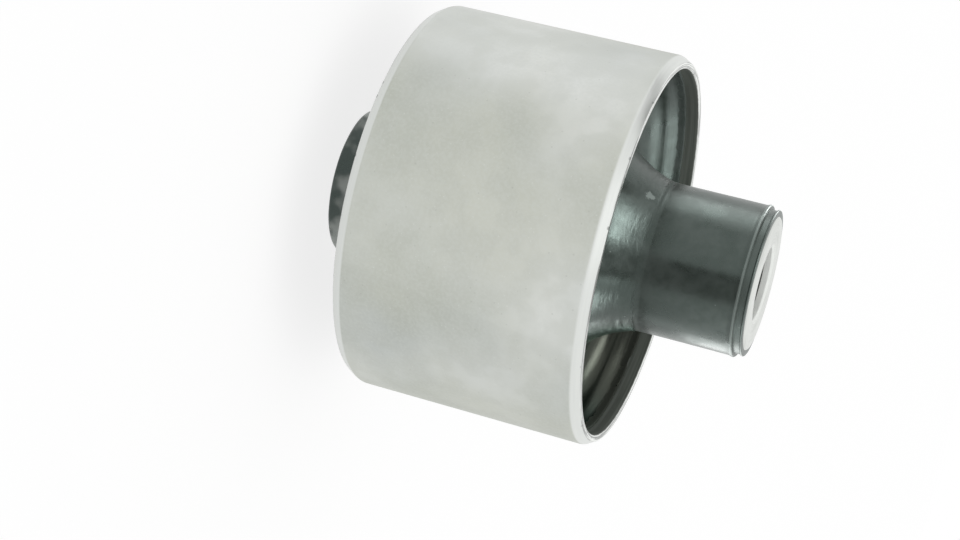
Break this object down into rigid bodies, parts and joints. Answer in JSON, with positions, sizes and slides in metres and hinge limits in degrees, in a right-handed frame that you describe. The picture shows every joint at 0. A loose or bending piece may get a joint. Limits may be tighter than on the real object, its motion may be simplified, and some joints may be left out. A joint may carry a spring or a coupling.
{
  "type": "rubber metal bush",
  "caption": "Bonded rubber bush: thick inner tube held in a thin outer tube by moulded rubber, standing out further at one end, with a ring-shaped trough in each face.",
  "frame": {"origin": "centre of the inner sleeve's face at the short end, on which the bush stands", "axes": "+Z along the common axis, towards the inner sleeve's long end; +X and +Y are free, as everything is turned"},
  "size_m": [0.065, 0.065, 0.071],
  "materials": {
    "outer_steel": "satin turned steel, dull oiled grey",
    "rubber": "semi-gloss moulded black",
    "inner_steel": "bright faced steel"
  },
  "bodies": {
    "root": {"outer_sleeve": "outer_steel", "rubber_body": "rubber", "inner_sleeve": "inner_steel"}
  },
  "joints": []
}
